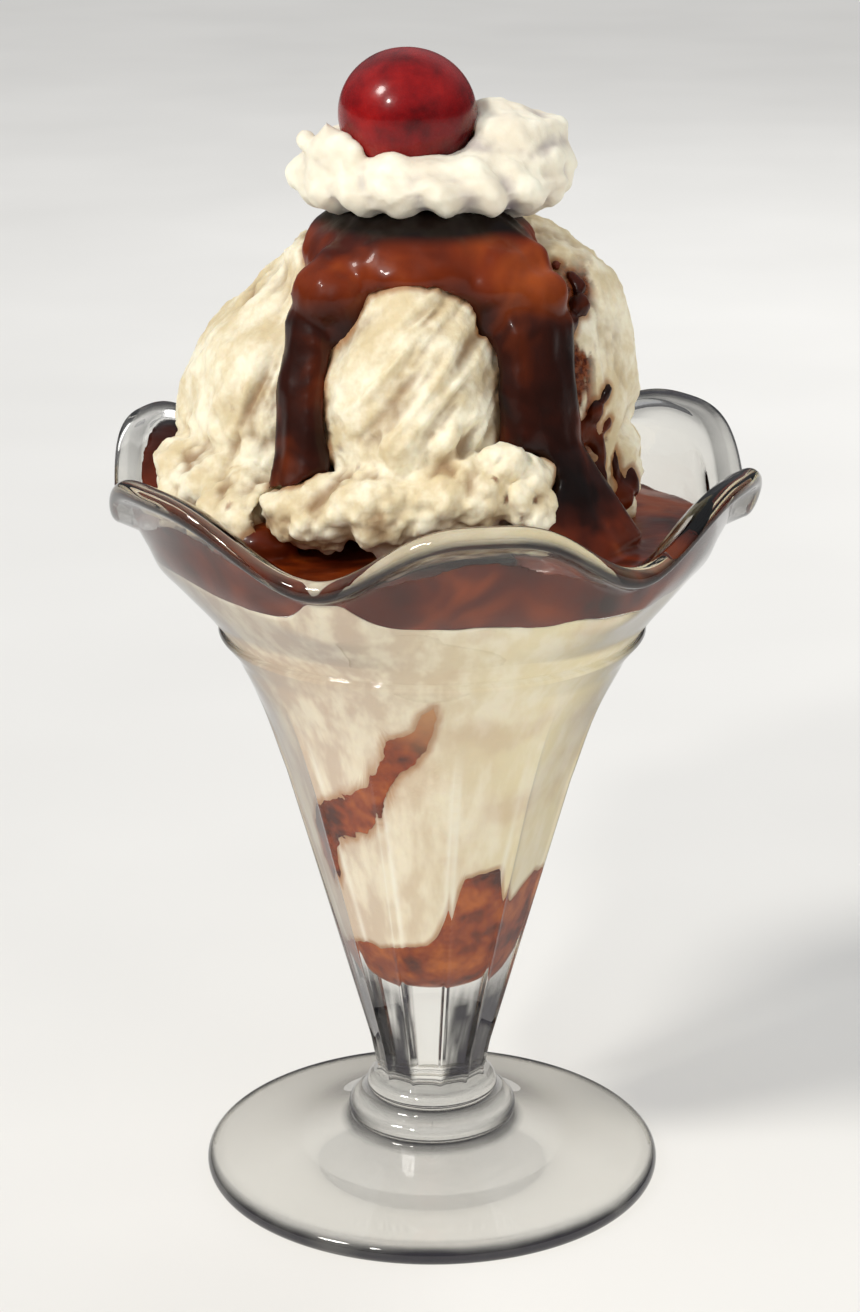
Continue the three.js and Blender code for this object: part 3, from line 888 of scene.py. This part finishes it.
# painted highlights: pale lines on the ice cream where it shows through the glass's panel edges; and stains
# beside the fudge
coneMarks = {
    "rib": 0.6, "ribWidth": 0.55, "ribFrom": (9, 12), "ribEnds": (74, 86),
    "patchSize": (9, 9, 26), "patchEdge": (-0.35, 0.35), "seed": 521,
    "stain": 0.75, "besideStreak": 1.6, "besideBase": 1.2,
}


def ribHighlightShare(points):
    panel = 360 / glass["panels"]
    fromEdge = (azimuthOf(points) - glass["firstValley"]) % panel
    out = distanceOut(points)
    toEdge = np.radians(np.minimum(fromEdge, panel - fromEdge)) * out
    patches = layeredNoise(points, coneMarks["patchSize"], coneMarks["seed"])
    lines = np.exp(-(toEdge / coneMarks["ribWidth"]) ** 2) * smoothStep(patches, *coneMarks["patchEdge"])
    ends = 1 - smoothStep(points[:, 2], *coneMarks["ribEnds"])
    return lines * smoothStep(out, *coneMarks["ribFrom"]) * ends


conePoints = meshPoints(coneMesh)[0]
besideFudge = np.maximum(nearness(conePoints, streakMesh, coneMarks["besideStreak"]),
                         nearness(conePoints, baseMesh, coneMarks["besideBase"]))
storeShare(coneMesh, "rib", coneMarks["rib"] * ribHighlightShare(conePoints))
storeShare(coneMesh, "stain", coneMarks["stain"] * besideFudge)
finishPiece("coneIceCream", coneMesh, coneCreamFinish(), "ice_cream", "ice_cream_fill")
print("filling made")

# scoops: each is its solid with a finer skin, scraped by the scoop and crumbly where it was pressed
scoops = {
    "scoop_front": {"name": "frontScoop", "lean": 44, "stroke": 0.85, "crumb": 0.12, "trim": 0, "seed": 101},
    "scoop_left": {"name": "leftScoop", "lean": 26, "stroke": 0.85, "crumb": 0.6, "trim": 1.4, "seed": 111},
    "scoop_right": {"name": "rightScoop", "lean": -6, "stroke": 0.5, "crumb": 0.5, "trim": 0, "seed": 121},
    "scoop_back": {"name": "backScoop", "lean": 15, "stroke": 0.65, "crumb": 0.7, "trim": 0, "seed": 131},
}
scoopSkin = {
    "voxel": 0.5, "smoothing": 5, "grow": -0.3,
    "strokeWidth": 2.8, "strokeLength": 20, "bend": 1.6, "bendSize": 11,
    "broad": 0.9, "broadSize": (7, 9, 26), "brokenSize": 12,
    "crumb": 1.9, "crumbSize": 4.4, "small": 0.8, "smallSize": 2.08, "lump": 1.2, "lumpSize": 6,
    "grain": 0.16, "grainSize": 0.91, "skirtTop": 135, "skirtReach": 24,
    "pitSize": (2.2, 2.2, 3), "pitFrom": (0.72, 0.86), "hollow": 0.85, "hollowDepth": 1.1,
    "trimHeight": (143, 149), "trimLeft": (17, 25),
}


def scoopRelief(points, style):
    skin, seed = scoopSkin, style["seed"]
    turn = math.radians(style["lean"])
    sideways = points[:, 0] * math.cos(turn) - points[:, 2] * math.sin(turn)
    upwards = points[:, 0] * math.sin(turn) + points[:, 2] * math.cos(turn)
    bent = np.column_stack([sideways, points[:, 1], upwards])
    bends = [softNoise(points, skin["bendSize"], seed + 7 + axis) for axis in range(3)]
    bent = bent + skin["bend"] * np.column_stack(bends)
    # grooves that the scoop leaves, long ones with short ones between
    width, length = skin["strokeWidth"], skin["strokeLength"]
    strokes = 0.7 - 2.2 * np.abs(softNoise(bent, (width, width * 3, length), seed))
    short = softNoise(bent, (width * 0.45, width * 2, length * 0.4), seed + 1)
    strokes += 0.4 * (0.6 - 2 * np.abs(short))
    scraped = style["stroke"] * strokes + skin["broad"] * softNoise(bent, skin["broadSize"], seed + 3)
    # crumbs where it broke, all over the skirt that was pressed out
    crumbs = pebbles(points + 0.7 * softNoise(points, 2, 5)[:, None], skin["crumbSize"], seed + 20)
    small = pebbles(points, skin["smallSize"], seed + 30)
    lumps = softNoise(points, skin["lumpSize"], seed + 45)
    broken = skin["crumb"] * (crumbs - 0.5) + skin["small"] * (small - 0.5) + skin["lump"] * lumps
    pressedOut = smoothStep(distanceOut(points), skin["skirtReach"], skin["skirtReach"] + 4)
    pressedOut = pressedOut * (1 - smoothStep(points[:, 2], skin["skirtTop"] - 5, skin["skirtTop"]))
    rubble = np.clip(0.35 + 0.6 * softNoise(points, skin["brokenSize"], seed + 40), 0, 1) * style["crumb"]
    rubble = np.maximum(rubble, pressedOut)
    grain = skin["grain"] * softNoise(points, skin["grainSize"], seed + 50)
    return (1 - 0.8 * rubble) * scraped + rubble * broken + grain, rubble


# knobs and a peak on the front scoop where it was pressed down: (place, half sizes), lean
pressedBits = (
    ((13.6, -31.5, 124.6), (4.6, 4.2, 4.4), 0), ((15.6, -33.2, 123.0), (2.6, 2.4, 2.2), 0),
    ((10.4, -31.5, 130.2), (3.2, 3.0, 3.0), 0), ((8.6, -32.6, 132.0), (1.7, 1.6, 1.5), 0),
    ((-2.4, -31.6, 136.5), (2.9, 2.2, 6.2), 6), ((-4.6, -33.0, 133.5), (3.8, 2.6, 4.2), -20),
    ((1.6, -32.4, 133.6), (3.2, 2.4, 3.8), 25), ((-20.5, -29.0, 121.5), (3.6, 3.4, 3.2), 0),
)


def scoopMesh(nodeName, style):
    skin = scoopSkin
    shapes = [grownCopy(nodeName, skin["grow"])]
    if nodeName == "scoop_front":
        shapes += [ballMesh(*bit, detail=2) for bit in pressedBits]
    mesh = fusedMesh(style["name"], shapes, skin["voxel"], skin["smoothing"])
    points, normals = meshPoints(mesh)
    relief, rubble = scoopRelief(points, style)
    trim = smoothStep(points[:, 2], *skin["trimHeight"]) * smoothStep(-points[:, 0], *skin["trimLeft"])
    movePoints(mesh, points + normals * (relief - style["trim"] * trim)[:, None])
    pits = smoothStep(softNoise(points, skin["pitSize"], style["seed"] + 60), *skin["pitFrom"])
    # painted shade in the grooves, as deep as the relief goes in
    storeShare(mesh, "hollow", skin["hollow"] * smoothStep(-relief, 0, skin["hollowDepth"]))
    storeShare(mesh, "syrup", pits * np.minimum(rubble, 0.8))
    return mesh


mound = {nodeName: scoopMesh(nodeName, style) for nodeName, style in scoops.items()}
moundSurface = surfaceOf(*mound.values())
print("scoops shaped")


def landOn(x, z):
    # where a drop at x and z lies on the front of the mound, in millimetres
    start = Vector((x, fudgeDrops["from"], z)) * mm
    hit, normal, _, _ = moundSurface.ray_cast(start, Vector((0, 1, 0)))
    return (np.array(hit) / mm, np.array(normal)) if hit else (None, None)


# drops and smears of fudge that lie on the scoops: x, z, half width, half height, lean
fudgeDrops = {
    "dots": ((18.8, 155.8, 0.9, 0.8, 0), (15.4, 157.6, 1.0, 1.6, -30)),
    "finger": ((21.2, 154.2, 0.9, 1.1, 0), (22.4, 152.6, 1.5, 1.6, 10), (22.2, 150.2, 1.8, 2.2, 20),
               (20.6, 147.8, 1.6, 2.6, 30), (18.8, 145.2, 1.6, 2.8, 20), (17.6, 141.6, 1.5, 3.4, 5),
               (18.4, 137.4, 1.3, 3.6, -8), (19.4, 133.4, 1.6, 3.4, -10)),
    "shadedLowRight": ((24.6, 134.2, 1.6, 2.2, 15), (22.2, 131.2, 2.2, 3.2, 10), (25.6, 128.4, 1.5, 3.8, -14),
                 (28.4, 124.8, 1.2, 3.6, -10), (31.2, 121.8, 1.4, 3.2, -18), (24.6, 123.0, 3.0, 4.2, 5),
                 (28.8, 119.4, 3.2, 2.8, 0), (27.0, 131.8, 1.1, 1.5, 30), (20.4, 127.0, 2.4, 3.6, 0),
                 (26.8, 137.0, 0.9, 1.6, 20)),
    "thickness": 1.4, "sunk": 0.2, "from": -80,
}


def dropMeshes():
    meshes = []
    for group in ("dots", "finger", "shadedLowRight"):
        for x, z, halfWidth, halfHeight, lean in fudgeDrops[group]:
            at, normal = landOn(x, z)
            if at is not None:
                radii = (halfWidth, fudgeDrops["thickness"], halfHeight)
                meshes.append(ballMesh(at - fudgeDrops["sunk"] * normal, radii, lean))
    return meshes


# where the streams leave the crown, and at the left of the pool, the fudge is thick: place, half sizes
pourBends = (
    ((-12.6, -19.6, 150.6), (5.2, 4.4, 6)), ((-11, -17.6, 157), (7, 5.4, 4.6)),
    ((-16.2, -18.6, 150), (4, 4, 6)), ((9.4, -20, 150.4), (5.6, 4.4, 5.4)),
    ((8, -17.8, 157.4), (7.4, 5.4, 4.4)), ((14.4, -18.6, 153), (6, 4.6, 5)),
    ((-26, -25, 116.5), (6, 4.5, 3.4)),
)

# the fudge pool, the crown over the scoops and the streams between them are one thick pour
pour = {
    "voxel": 0.53, "smoothing": 14, "grow": 0.4, "ripple": 0.4, "rippleSize": (4, 4, 14), "sag": 0.35,
    "sagSize": (3.2, 3.2, 5), "seed": 201, "freeAbove": (117, 121), "stillBelow": (112, 114), "calm": 0.15,
}


def pouredMesh():
    pool = fillMesh("pool", justOver(poolFloor), poolTop, rows=(30, 40, 60))
    cap = grownCopy("fudge_cap", pour["grow"])
    bends = [ballMesh(*bend) for bend in pourBends]
    mesh = fusedMesh("fudgePour", [cap, pool, *dropMeshes(), *bends], pour["voxel"], pour["smoothing"])
    points, normals = meshPoints(mesh)
    free = pour["calm"] + (1 - pour["calm"]) * smoothStep(points[:, 2], *pour["freeAbove"])
    free = free * smoothStep(points[:, 2], *pour["stillBelow"])
    ripples = pour["ripple"] * layeredNoise(points, pour["rippleSize"], pour["seed"])
    sags = pour["sag"] * softNoise(points, pour["sagSize"], pour["seed"] + 5)
    movePoints(mesh, pressToWall(points + normals * (free * (ripples + sags))[:, None]))
    return mesh


pourMesh = pouredMesh()
finishPiece("fudgePour", pourMesh, pourFinish(), "fudge", "fudge_pool", "fudge_cap")
print("fudge made")

# the scoops are stained where the fudge touches them, and smeared beside the right stream
stain = {"share": 0.8, "reach": 1.3}
smear = {"node": "scoop_right", "at": (20.5, 141), "half": (5.5, 17), "size": (1.5, 3, 7),
         "edge": (-0.14, 0.1), "seed": 211}


def smearShare(points):
    across = np.abs(points[:, 0] - smear["at"][0]) / smear["half"][0]
    upDown = np.abs(points[:, 2] - smear["at"][1]) / smear["half"][1]
    within = (1 - smoothStep(across, 0.5, 1)) * (1 - smoothStep(upDown, 0.7, 1)) * (points[:, 1] < 0)
    return within * smoothStep(layeredNoise(points, smear["size"], smear["seed"]), *smear["edge"])


for nodeName, mesh in mound.items():
    points = meshPoints(mesh)[0]
    storeShare(mesh, "stain", stain["share"] * nearness(points, pourMesh, stain["reach"]))
    if nodeName == smear["node"]:
        syrup = mesh.attributes["syrup"].data
        pits = np.empty(len(points))
        syrup.foreach_get("value", pits)
        syrup.foreach_set("value", np.maximum(pits, smearShare(points)))
    finishPiece(scoops[nodeName]["name"], mesh, scoopCream, "ice_cream", nodeName)
print("scoops finished")

# whipped cream: soft folds round its edge and small peaks at its left
cream = {
    "voxel": 0.45, "smoothing": 6, "grow": 0.15, "seed": 301, "relief": 0.9,
    "lowerEdge": 167, "foldHeight": 8, "fold": 0.7, "folds": 17,
    "billow": 1.1, "billowSize": (6, 6, 4), "swirl": 0.6, "swirlRise": 1.1,
    "foam": 0.12, "foamSize": 0.9, "foamSeed": 33, "hollow": 0.75, "hollowDepth": (0.1, 1.3),
    "underside": 0.35, "undersideTo": (163, 167),
    "peaks": (((-18.6, -6, 173.2), (1.3, 1.3, 3.4), -18), ((-15.6, -9, 175.6), (1.2, 1.3, 3.0), -8),
              ((-20.0, -2, 168.6), (2.4, 2.2, 2.6), 0)),
}


def creamRelief(points):
    seed, height = cream["seed"], points[:, 2]
    around = np.radians(azimuthOf(points))
    foldPhase = around * cream["folds"] + 2.2 * layeredNoise(points, 8, seed)
    foldPhase = foldPhase + 0.35 * (height - cream["lowerEdge"])
    low = 1 - smoothStep(height, cream["lowerEdge"] + 1, cream["lowerEdge"] + cream["foldHeight"])
    folds = cream["fold"] * np.sin(foldPhase) * low
    billows = cream["billow"] * layeredNoise(points, cream["billowSize"], seed + 9)
    swirlPhase = height * cream["swirlRise"] + around * 2 + 2 * softNoise(points, 7, seed + 4)
    swirls = cream["swirl"] * np.sin(swirlPhase) * (1 - low)
    foam = cream["foam"] * softNoise(points, cream["foamSize"], cream["foamSeed"])
    return cream["relief"] * (folds + billows + swirls) + foam


def creamMesh():
    shapes = [grownCopy("whipped_cream", cream["grow"]), *[ballMesh(*peak) for peak in cream["peaks"]]]
    mesh = fusedMesh("whippedCream", shapes, cream["voxel"], cream["smoothing"])
    points, normals = meshPoints(mesh)
    relief = creamRelief(points)
    movePoints(mesh, points + normals * relief[:, None])
    # painted shade on the underside of the cream and in the hollows of its folds
    underside = cream["underside"] * (1 - smoothStep(points[:, 2], *cream["undersideTo"]))
    storeShare(mesh, "hollow", cream["hollow"] * smoothStep(-relief, *cream["hollowDepth"]) + underside)
    return mesh


finishPiece("whippedCream", creamMesh(), whippedCreamFinish(), "whipped_cream", "whipped_cream")

# cherry, with a dent where its stalk was
cherry = {
    "at": (-3.8, -5, 178.4), "radii": (10.6, 10.4, 10), "uneven": 0.16, "unevenSize": 0.9, "seed": 401,
    "dent": 0.9, "dentTowards": (0.1, 0.75, 0.65), "dentSpread": 0.03,
}


def cherryMesh():
    work = bmesh.new()
    bmesh.ops.create_icosphere(work, subdivisions=6, radius=1)
    unit = np.array([v.co[:] for v in work.verts])
    uneven = cherry["uneven"] * layeredNoise(unit, cherry["unevenSize"], cherry["seed"])
    fromDent = np.sum((unit - cherry["dentTowards"]) ** 2, axis=1)
    stalkDent = cherry["dent"] * np.exp(-fromDent / cherry["dentSpread"])
    points = np.array(cherry["at"]) + unit * (np.array(cherry["radii"]) + (uneven - stalkDent)[:, None])
    for vertex, point in zip(work.verts, points):
        vertex.co = Vector(point) * mm
    mesh = bpy.data.meshes.new("cherry")
    work.to_mesh(mesh)
    work.free()
    return mesh


finishPiece("glaceCherry", cherryMesh(), cherryFinish(), "cherry", "cherry")
print("toppings made")

# floor, sky and lamps
studio = {
    "floorHalf": 2.6, "floorColours": ((226, 225, 222), (240, 239, 236)),
    "sky": ((0.05, (116, 115, 118)), (0.6, (240, 243, 248))), "skyStrength": 0.48, "lampsAimAt": (0, 0, 0.11),
    "sun": {"from": (-0.62, -0.39, 0.68), "strength": 1.8, "angle": 13, "colour": (1, 0.97, 0.92)},
    "lamps": {
        "fill": {"place": (0.75, -0.6, 0.45), "size": 0.8, "strength": 3, "colour": (1, 0.97, 0.93)},
        "rim": {"place": (0.4, 0.75, 0.7), "size": 0.7, "strength": 3, "colour": (1, 1, 1)},
        "sparkle": {"place": (-0.3, -0.5, 0.5), "size": 0.06, "strength": 1.2, "colour": (1, 0.98, 0.94)},
    },
}


def studioFloor():
    half = studio["floorHalf"] / mm
    corners = [(-half, -half, 0), (half, -half, 0), (half, half, 0), (-half, half, 0)]
    mesh = meshFrom("floor", corners, [(0, 1, 2, 3)])
    floor = bpy.data.objects.new("floor", mesh)
    scene.collection.objects.link(floor)
    f = Finish("paleFloor")
    colour = f.mix(f.noise(120, detail=2), *[paint(shade) for shade in studio["floorColours"]])
    mesh.materials.append(f.opaque({"Base Color": colour, "Roughness": 0.7}))


def studioSky():
    scene.world = bpy.data.worlds.new("studioSky")
    sky = NodeTree(scene.world)
    height = sky.node("ShaderNodeSeparateXYZ", {}, {"Vector": sky.direction})["Z"]
    light = sky.node("ShaderNodeBackground", {}, {
        "Color": sky.ramp(height, studio["sky"]), "Strength": studio["skyStrength"]})["Background"]
    sky.node("ShaderNodeOutputWorld", {}, {"Surface": light})


def studioLight(name, kind, lamp, towards):
    data = bpy.data.lights.new(name, kind)
    data.energy = lamp["strength"]
    data.color = lamp["colour"]
    holder = bpy.data.objects.new(name, data)
    holder.rotation_euler = towards.to_track_quat("-Z", "Y").to_euler()
    scene.collection.objects.link(holder)
    return data, holder


def studioLights():
    sun = studio["sun"]
    data = studioLight("key", "SUN", sun, -Vector(sun["from"]))[0]
    data.angle = math.radians(sun["angle"])
    for name, lamp in studio["lamps"].items():
        place = Vector(lamp["place"])
        data, holder = studioLight(name, "AREA", lamp, Vector(studio["lampsAimAt"]) - place)
        data.shape = "DISK"
        data.size = lamp["size"]
        holder.location = place
        holder.visible_glossy = name == "sparkle"


studioFloor()
studioSky()
studioLights()
print("studio made")
